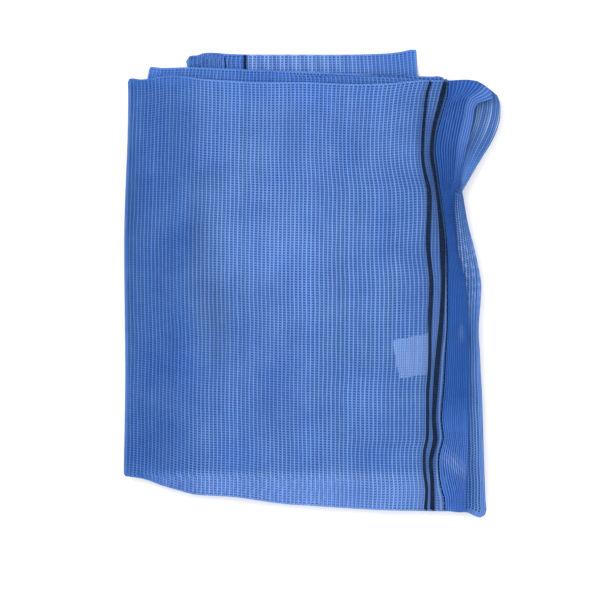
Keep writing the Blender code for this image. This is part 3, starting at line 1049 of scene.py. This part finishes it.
def hem_front_shade(across, x, y):
    """More tone and paleness for the front band: painted light on the hood and along the lip,
    painted highlights on a swell and a crease, and lighter towards the foot.
    """
    foot_end = ramp(y, -0.085, -0.04)
    hood = ramp(y, 0.070, 0.05) * ramp(across, 0, 0.3)
    hood_beyond = hood * ramp(across, 0.66, 0.08)
    lip = bell(across, 0.71, 0.07) * ramp(y, 0.060, 0.03)
    # A painted highlight on a rippled swell that lies slantwise near the foot.
    swell_x, swell_y = x - 0.1144, y + 0.1444
    along, over = (swell_x - swell_y) / 1.414, (swell_x + swell_y) / 1.414
    ripple = 0.72 + 0.28 * np.sin(over / 0.00065 + 0.6 * np.sin(along / 0.003))
    swell = hump(along, over, 0, 0, 0.013, 0.006) * ripple
    # A painted highlight along a crease.
    crease = hump(x, y, 0.1195, -0.039, 0.0018, 0.006)
    tone = 1.0 + 0.34 * foot_end + 0.10 * ramp(y, -0.156, -0.008)
    tone = tone + 0.14 * hood + 0.18 * hood_beyond
    pale = 0.03 + 0.26 * swell + 0.16 * crease + 0.05 * foot_end
    return tone, pale + 0.02 * hood + 0.09 * hood_beyond + 0.05 * lip


def hem_front():
    ribs, rows = 13, HEM_ROWS
    low_y, high_y = seam.low[1], seam.high[1]
    z_band = middle_z("mouth_hem_front_band")
    flat = hem_front_patch()

    def place(rib, row):
        across = np.clip(rib / ribs, 0, 1)
        along = np.clip(row / rows, 0, 1)
        # Low on the hem the ribs slide sideways, as the cloth is pulled askew.
        askew = ramp(along, 0.120, -0.085)
        along = along - 0.016 * across**5 * ramp(along, 0.93, 0.07)
        x, y = flat(across + 0.60 * askew * across * (1 - across), along)
        rise = ramp(x - mid_seam(y), 0, 7 * MM)
        z = FRONT_Z + relief(x, y, FRONT_Z) * (1 - rise) + (z_band - FRONT_Z) * rise
        lobe = ramp(x, 0.112, 0.030) * ramp(y, 0.085, 0.05)
        z = z + 1.7 * MM * lobe
        # The band is puffed along its middle, and its free edge tucks down.
        z = z + 0.9 * MM * np.sin(math.pi * across) * (1 - lobe)
        z = z - 1.6 * MM * ramp(across, 0.85, 0.15) * (1 - lobe)
        ledge = ramp(across, 0.60, 0.10) - 1.3 * ramp(across, 0.71, 0.06)
        z = z + 1.1 * MM * ramp(y, 0.060, 0.03) * ledge
        z = z + 0.5 * MM * waves(x * 0.7, y, 41, 0.045) * rise
        return x, y, z

    def closed(rib, row):
        y = low_y + (high_y - low_y) * row / rows
        drawn = ((y > -0.120) & (y < 0.070)) | (y > 0.142) | ((rib > 8.5) & (y > 0.060))
        return drawn | (rib < 2) | (rib > ribs - 1.5)

    obj = knit(
        "hem_front_knit", place, ribs, rows, HEM, half=0.31, crest=0.50 * MM,
        by_rib=hem_front_shade, closed=closed, close_ends=2,
    )
    blend_hem(obj)
    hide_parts("mouth_hem_front_band")


def hem_back():
    """The wall behind, lighter because only the floor lies under it."""
    ribs, rows = 12, HEM_ROWS
    loop = top_loop("mouth_hem_back_band")
    low_x, high_x = loop[:, 0].min(), loop[:, 0].max()
    left_x = HEM_AXIS[0] - HEM_BLEND
    # The left side spans the front fold's height at this x.
    base_y, peak_y = (front.cross(np.array([0.107]), 0, side)[0] for side in (-1, 1))
    peak_y = peak_y - 0.6 * MM
    foot = loop[np.argmin(loop[:, 1] - 0.35 * loop[:, 0])]
    tip = loop[np.argmin(((loop - np.array([high_x, 0.148])) ** 2).sum(1))]
    side = by_length(stretch(loop, foot, tip, on_right), 900)
    grid = increasing(climb(side))
    top = stretch(loop, (low_x, peak_y), tip, at_top)
    bottom = stretch(loop, (low_x, base_y), foot, at_bottom)
    flat = patch(
        line_along_y(even(left_x), base_y, peak_y),
        follow(side, grid / grid[-1]),
        curve_of(np.concatenate([[[left_x, base_y]], bottom])),
        curve_of(np.concatenate([[[left_x, peak_y]], top])),
    )
    z_band = middle_z("mouth_hem_back_band")

    def place(rib, row):
        across = np.clip(rib / ribs, 0, 1)
        x, y = flat(across, np.clip(row / rows, 0, 1))
        z = FRONT_INNER_Z + (z_band - FRONT_INNER_Z) * ramp(x, left_x, 5 * MM)
        z = z + 0.55 * MM * waves(x, y, 43, 0.05) * ramp(x, 0.112, 0.01)
        # The free side curls up a little where the cloth turns.
        z = z + 2.4 * MM * ramp(across, 0.80, 0.2) * ramp(y, -0.20, 0.05)
        held = ramp(across, 0.97, -0.2) * ramp(across, 0, 0.25)
        x = x + 0.5 * MM * waves(x * 0.2, y, 44, 0.06) * held
        return x, y, z

    def place_facing(rib, row):
        """About half a rib and half a row on from the wall, and below it."""
        x, y, z = place(np.clip(rib + 0.45, 0, ribs - 0.1), row + 0.5)
        return x, y, z - 1.5 * MM

    def rim_closed(rib, _):
        return (rib > ribs - 1.5) | (rib < 1.5)

    def drawn_in(rib, row):
        """Inside the turned-over corner the cloth is drawn together, with no holes."""
        y = base_y + (peak_y - base_y) * row / rows
        return rim_closed(rib, row) | (y > 0.090) | ((y > 0.070) & (row % 2 < 1))

    def shading(across, x, y):
        # Painted light: a paler flare and rim, light strands inside the hood and a mottled patch
        # of light; painted shade inside the hood, deepest between the ribs.
        flare = bell(y, 0.035, 0.035)
        rim = ramp(x, 0.128, 0.004) * ramp(y, -0.02, -0.03)
        inside = ramp(y, 0.085, 0.03)
        streak = np.maximum(0, np.sin(across * TAU * 5.3 + 1.1)) ** 2
        streak = streak * inside * bell(y, 0.130, 0.014)
        mottle = np.maximum(0, waves(x * 1.6, y, 45, 0.0075, 2)) * bell(y, 0.012, 0.030)
        gap = np.abs((across * ribs) % 1 - 0.5) > 0.2
        pale = 0.05 + 0.10 * flare + 0.10 * rim + 0.58 * streak + 0.45 * mottle
        return 0.98 - inside * (0.06 + 0.24 * gap), pale

    # The tunnel's inner wall, where the cloth was turned in before sewing.
    facing = knit(
        "hem_back_facing", place_facing, ribs, rows, FACING, half=0.29, bar=0.56,
        crest=0.38 * MM, up=-1.0, closed=rim_closed, close_ends=2,
    )
    blend_hem(facing)
    obj = knit(
        "hem_back_knit", place, ribs, rows, FLARE, half=0.27, crest=0.40 * MM,
        by_rib=shading, closed=drawn_in, close_ends=2,
    )
    blend_hem(obj)
    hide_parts("mouth_hem_back_band")


hem_front()
hem_back()


# ------------------------------------------- stripes, bottom hem and stitches
def lying_at(level, lift):
    """The height of something that lies lift above the ply at level."""
    return lambda x, y: level + relief(x, y, level) + lift


front_top = lying_at(FRONT_Z, 0.55 * MM)
back_top = lying_at(BACK_UPPER_Z, 0.5 * MM)


def seam_top(x, y):
    """The puffed hem swallows the upper half of its seam."""
    return front_top(x, y) - 1.15 * MM * ramp(y, 0.020, 0.020)


def narrow_widening(y):
    """The narrow stripe is wider along its middle stretch, by this on each side."""
    return 0.65 * MM * ramp(y, 0.095, -0.02) * ramp(y, -0.042, 0.02)


def stripe(name, outline, ribs, rows, z_at, body, node, wider=even(0)):
    """A closed knitted band that runs with the ribs."""
    low, high = outline.low[1], outline.high[1]

    def place(rib, row):
        y = low + (high - low) * row / rows
        left, right = outline.left(y) - wider(y), outline.right(y) + wider(y)
        x = left + (right - left) * rib / ribs
        return x, y, z_at(x, y)

    obj = knit(
        name, place, ribs, rows, BLACK, half=0.40, bar=0.5, crest=0.35 * MM, jitter=0.03,
        closed=lambda rib, row: rib > -1,
    )
    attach(obj, body)
    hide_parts(node)


def bottom_hem():
    """The band along the back fold's left part, with its own ribs."""
    low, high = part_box("bottom_hem_band")
    ribs, rows = 9, 163
    lift = 0.45 * MM

    def place(rib, row):
        x = low.x + (high.x - low.x) * rib / ribs
        share = row / rows
        share = share + 0.05 * share * (1 - share)
        bottom, top = back.bottom(x), back.top(x)
        y = bottom + (top - bottom) * share
        z = BACK_UPPER_Z + relief(x, y, BACK_UPPER_Z) + lift
        return x, y, turned_edge(z, row, rows, BACK_UPPER_Z)

    obj = knit("bottom_hem_knit", place, ribs, rows, MESH, tone=even(0.80))
    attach(obj, "back_fold")
    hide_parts("bottom_hem_band")


def stitches(name, outline, z_at, length, width, height, body, node, pitch=2.9 * MM):
    """A row of sewn stitches, each a rounded thread segment, end over end."""
    low, high = outline.low[1], outline.high[1]
    count = int((high - low) / pitch)
    around, along = 8, 7
    number = np.arange(count)[:, None, None]
    share = np.linspace(0, 1, along)[None, :, None]
    angle = TAU * np.arange(around)[None, None, :] / around
    arch = np.sin(math.pi * share)
    swell = np.maximum(0.12, arch**0.5)
    # Stitches lean to the right and left in turn.
    lean = 0.22 * MM * np.where(number % 2, 1, -1)
    y = low + pitch * (number + 0.5) + length * (share - 0.5)
    line = middle_line(outline)(y)
    x = line + lean * (share - 0.5) * 2 + width / 2 * swell * np.cos(angle)
    z = z_at(line, y) + height * (0.35 + 0.65 * arch) * 0.5
    z = z + height / 2 * swell * np.sin(angle)
    verts = np.stack(np.broadcast_arrays(x, y, z), -1).reshape(-1, 3)
    uv_parts = np.broadcast_arrays(angle / TAU, share + number)
    uv = np.stack(uv_parts, -1).reshape(-1, 2)

    index = np.arange(along * around).reshape(along, around)
    following = np.roll(index, -1, axis=1)
    tube = np.stack([index[:-1], following[:-1], following[1:], index[1:]], -1)
    one = np.concatenate([
        tube.reshape(-1, 4), cap_quads(index[0, ::-1]), cap_quads(index[-1])
    ])[:, ::-1]
    faces = (one[None] + number * index.size).reshape(-1, 4)
    obj = mesh_object(name, verts, faces, THREAD, uv, np.ones(len(verts)))
    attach(obj, body)
    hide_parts(node)


stripe(
    "stripe_narrow_knit", narrow_stripe, ribs=2, rows=160, z_at=front_top,
    body="front_fold", node="narrow_black_stripe", wider=narrow_widening,
)
stripe(
    "stripe_wide_knit", wide_stripe, ribs=3, rows=160, z_at=front_top,
    body="front_fold", node="wide_black_stripe",
)
stripe(
    "stripe_bottom_knit", bottom_stripe, ribs=2, rows=158, z_at=back_top,
    body="back_fold", node="bottom_black_stripe",
)
bottom_hem()
stitches(
    "hem_stitches", seam, seam_top, length=3.3 * MM, width=0.95 * MM, height=0.55 * MM,
    body="front_fold", node="hem_seam_thread",
)
stitches(
    "bottom_stitches", bottom_seam, back_top, length=3.1 * MM, width=0.8 * MM,
    height=0.45 * MM, body="back_fold", node="bottom_seam_thread",
)


# ------------------------------------------------------------ label and cord
def label():
    """The care label: a soft tape, blank, lying between the front plies."""
    low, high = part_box("care_label")
    box_corners = ((low.x, low.y), (high.x, low.y), (high.x, high.y), (low.x, high.y))
    low_left, low_right, high_right, high_left = (
        LABEL_LOOP[np.argmin(((LABEL_LOOP - np.array(corner)) ** 2).sum(1))]
        for corner in box_corners
    )
    columns, lines = 40, 48
    count = columns * lines
    across, along = np.meshgrid(
        np.linspace(0, 1, columns), np.linspace(0, 1, lines), indexing="ij"
    )
    x, y = (
        (1 - across) * (1 - along) * low_left[k]
        + across * (1 - along) * low_right[k]
        + across * along * high_right[k]
        + (1 - across) * along * high_left[k]
        for k in (0, 1)
    )
    level = (low.z + high.z) / 2
    z = level + relief(x, y, level) + 0.25 * MM * np.sin(across * 5 + along * 2)
    # Half the tape's thickness, more at the rim.
    rim = np.minimum(np.minimum(across, 1 - across), np.minimum(along, 1 - along))
    thick = 0.11 * MM + 0.10 * MM * (rim < 0.04)
    verts = [np.stack([x, y, z + way * thick], -1).reshape(-1, 3) for way in (1, -1)]
    index = np.arange(count).reshape(columns, lines)
    top = np.stack([index[:-1, :-1], index[1:, :-1], index[1:, 1:], index[:-1, 1:]], -1)
    top = top.reshape(-1, 4)
    ring = np.concatenate([index[:, 0], index[-1, 1:], index[-2::-1, -1], index[0, -2:0:-1]])
    following = np.roll(ring, -1)
    wall = np.stack([ring + count, following + count, following, ring], -1)
    faces = np.concatenate([top, top[:, ::-1] + count, wall])
    obj = mesh_object("care_label_tape", np.concatenate(verts), faces, LABEL)
    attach(obj, "front_fold")
    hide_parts("care_label")


def drawcord():
    """A three-strand twisted cord along y with a knot at each end."""
    low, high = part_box("drawcord")
    centre_x, centre_z = (low.x + high.x) / 2, (low.z + high.z) / 2
    knot_radius = (high.x - low.x) / 2
    cord_radius = knot_radius * 0.78
    knot_at = 3.0 * MM  # from each end
    around = 18
    fine_step, coarse_step, fine_reach = 0.35 * MM, 0.75 * MM, 7 * MM
    stations = [low.y]
    while stations[-1] < high.y - fine_step:
        near = min(stations[-1] - low.y, high.y - stations[-1])
        stations.append(stations[-1] + (fine_step if near < fine_reach else coarse_step))
    stations = np.array(stations[:-1] + [high.y])
    angles = np.arange(around) * TAU / around
    angle, y = np.meshgrid(angles, stations, indexing="ij")
    near = np.minimum(y - low.y, high.y - y)
    body = cord_radius + (knot_radius - cord_radius) * bell(near, knot_at, 1.7 * MM)
    end = np.sqrt(np.clip(near / (0.9 * MM), 0.0, 1.0))
    # The strands wind one way on the cord and the other way, tighter, on the knots.
    strands = np.abs(np.cos(1.5 * (angle - y / (5.2 * MM) * TAU)))
    cross = np.abs(np.cos(1.5 * (angle + y / (3.0 * MM) * TAU)))
    tied = bell(near, knot_at, 2.2 * MM)
    radius = body * (0.84 + 0.16 * (strands * (1 - tied) + cross * tied))
    radius = radius * np.maximum(end, 0.15)
    x, z = centre_x + radius * np.cos(angle), centre_z + radius * np.sin(angle)
    verts = np.stack([x, y, z], -1).reshape(-1, 3)
    index = np.arange(len(verts)).reshape(around, len(stations))
    following = np.roll(index, -1, axis=0)
    tube = [index[:, :-1], index[:, 1:], following[:, 1:], following[:, :-1]]
    caps = np.array(cap_quads(index[::-1, 0]) + cap_quads(index[:, -1]))
    faces = np.concatenate([np.stack(tube, -1).reshape(-1, 4), caps[:, ::-1]])
    uv = np.stack([angle / TAU * 3, y / (2.0 * MM)], -1).reshape(-1, 2)
    obj = mesh_object("drawcord_twist", verts, faces, CORD, uv, np.ones(len(verts)))
    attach(obj, "drawcord")
    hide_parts("drawcord")


label()
drawcord()


# ------------------------------------------------------------------- setting
low, high = CAD_BOX
CENTRE_X, CENTRE_Y = (low.x + high.x) / 2, (low.y + high.y) / 2


def add_floor(size=5.0, z=-0.0004):
    mesh = bpy.data.meshes.new("floor")
    corners = [(-size, -size, z), (size, -size, z), (size, size, z), (-size, size, z)]
    mesh.from_pydata(corners, [], [(0, 1, 2, 3)])
    floor = bpy.data.objects.new("floor", mesh)
    bpy.context.scene.collection.objects.link(floor)
    mesh.materials.append(floor_material())


def add_world():
    world = bpy.data.worlds.new("studio")
    bpy.context.scene.world = world
    world.use_nodes = True
    background = world.node_tree.nodes["Background"]
    background.inputs["Color"].default_value = rgb(1.0, 1.0, 1.0)
    background.inputs["Strength"].default_value = 1.25


def add_area_light(name, right, up, height, size, energy):
    """A square light, placed from the bundle's middle and aimed at it."""
    lamp = bpy.data.lights.new(name, "AREA")
    lamp.shape = "SQUARE"
    lamp.size = size
    lamp.energy = energy
    obj = bpy.data.objects.new(name, lamp)
    where = Vector((CENTRE_X + right, CENTRE_Y + up, height))
    obj.location = where
    aim = Vector((CENTRE_X, CENTRE_Y, 0)) - where
    obj.rotation_euler = aim.to_track_quat("-Z", "Y").to_euler()
    obj.visible_camera = False
    bpy.context.scene.collection.objects.link(obj)


def add_camera(view_width=0.48):
    """A long lens that looks straight down."""
    scene = bpy.context.scene
    camera = bpy.data.cameras.new("camera")
    camera.sensor_width = 36
    camera.lens = 400
    camera.clip_end = 100
    distance = view_width * camera.lens / camera.sensor_width
    obj = bpy.data.objects.new("camera", camera)
    # The view's middle lies a little left of and below the bundle's middle.
    obj.location = (CENTRE_X - 0.0096, CENTRE_Y - 0.0132, high.z * 0.8 + distance)
    scene.collection.objects.link(obj)
    scene.camera = obj
    scene.view_settings.view_transform = "Standard"
    scene.view_settings.look = "None"


add_floor()
add_world()
add_area_light("key", right=-0.9, up=0.9, height=1.7, size=1.2, energy=20.0)
add_area_light("fill", right=1.3, up=-0.6, height=1.6, size=1.6, energy=7.0)
add_camera()
